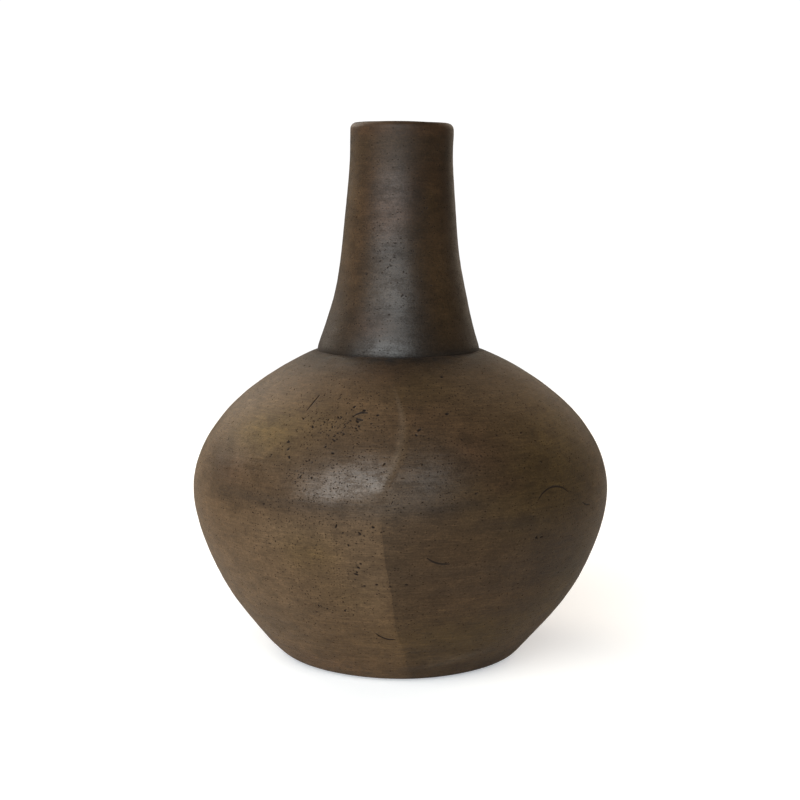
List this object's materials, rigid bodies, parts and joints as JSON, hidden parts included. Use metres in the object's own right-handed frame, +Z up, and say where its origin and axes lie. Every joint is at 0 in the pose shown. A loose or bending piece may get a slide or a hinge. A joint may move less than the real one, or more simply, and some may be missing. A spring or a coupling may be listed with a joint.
{
  "type": "ceramic bud vase",
  "caption": "Hand-built clay bud vase: wide round body on a small flat foot, tall tapering neck and a rounded lip, smoke-darkened and burnished, for a single stem or a small spray.",
  "frame": {"origin": "centre of the flat underside, on the surface that the vase stands on", "axes": "+Z up along the axis of the body and neck, -Y to the front, where the seam between the body halves shows, +X to the right"},
  "size_m": [0.157, 0.157, 0.2],
  "materials": {
    "base_clay": "fired clay, satin at the edge, dry underneath",
    "body_clay": "burnished fired clay, satin",
    "body_clay_dark": "burnished, smoke-darkened fired clay, satin",
    "neck_clay": "burnished, smoke-blackened fired clay, half gloss",
    "inner_clay": "unburnished fired clay, matt"
  },
  "bodies": {
    "root": {"base_disc": "base_clay", "body_left_half": "body_clay", "body_right_half": "body_clay_dark", "neck": "neck_clay", "rim_coil": "neck_clay", "base_seam_coil": "inner_clay", "neck_seam_coil": "inner_clay", "front_seam_coil": "inner_clay", "back_seam_coil": "inner_clay"}
  },
  "joints": []
}
